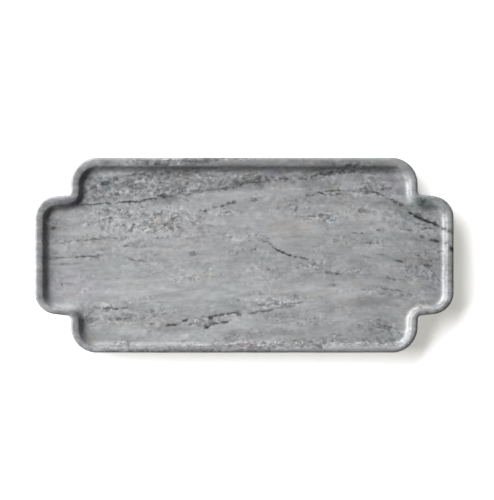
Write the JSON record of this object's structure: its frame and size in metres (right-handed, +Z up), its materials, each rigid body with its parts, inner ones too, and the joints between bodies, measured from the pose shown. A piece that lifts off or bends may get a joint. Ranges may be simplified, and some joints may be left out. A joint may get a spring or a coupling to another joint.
{
  "type": "marble vanity tray",
  "caption": "Long shallow tray carved from grey marble, with a rounded raised rim, stepped shoulders and a narrower wing at each end, standing on low round bumper pads.",
  "frame": {"origin": "under the tray's centre, on the surface that its pads stand on", "axes": "+X along the tray's length, +Y across its width, +Z up out of the recess"},
  "size_m": [0.381, 0.1778, 0.019],
  "materials": {
    "marble": "honed",
    "bumper": "matt",
    "adhesive": "satin"
  },
  "bodies": {
    "root": {"marble_tray": "marble", "bumper_pad_front_left": "bumper", "bumper_pad_front_right": "bumper", "bumper_pad_back_left": "bumper", "bumper_pad_back_right": "bumper", "adhesive_disc_front_left": "adhesive", "adhesive_disc_front_right": "adhesive", "adhesive_disc_back_left": "adhesive", "adhesive_disc_back_right": "adhesive"}
  },
  "joints": []
}
